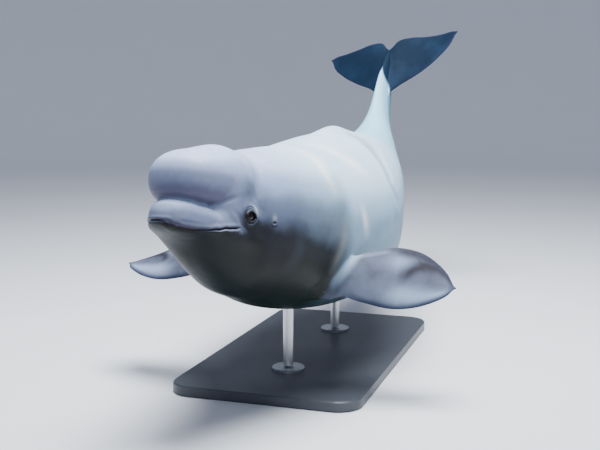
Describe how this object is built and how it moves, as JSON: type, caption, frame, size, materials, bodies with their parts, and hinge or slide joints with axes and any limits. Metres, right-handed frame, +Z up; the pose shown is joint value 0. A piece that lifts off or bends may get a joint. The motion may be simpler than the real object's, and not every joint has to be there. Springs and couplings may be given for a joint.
{
  "type": "beluga whale model",
  "caption": "Life-size still model of a white whale, swimming with its head low, flippers spread and tail raised, held over a flat display base by short rods.",
  "frame": {"origin": "centre of the underside of the display base, on the floor", "axes": "+Z up; the whale swims toward -Y, so +Y runs back along the body to the tail; +X is the whale's left"},
  "size_m": [1.6726, 3.7768, 1.8144],
  "materials": {
    "head_skin": "smooth hairless skin, lilac white, satin and slightly moist",
    "body_skin": "smooth hairless skin, white with a pale blue cast, satin",
    "flipper_skin": "smooth skin, grey lilac with dark edges, satin",
    "fluke_skin": "smooth skin, dark slate blue, satin",
    "eye": "dark brown, polished and wet",
    "stand_paint": "dark grey satin paint",
    "stand_steel": "brushed"
  },
  "bodies": {
    "root": {"head": "head_skin", "lower_jaw": "head_skin", "neck": "body_skin", "torso": "body_skin", "tail_stock": "body_skin", "flipper_left": "flipper_skin", "flipper_right": "flipper_skin", "fluke_left": "fluke_skin", "fluke_right": "fluke_skin", "eye_left": "eye", "eye_right": "eye", "stand_base": "stand_paint", "stand_rod_front": "stand_steel", "stand_rod_rear": "stand_steel"}
  },
  "joints": []
}
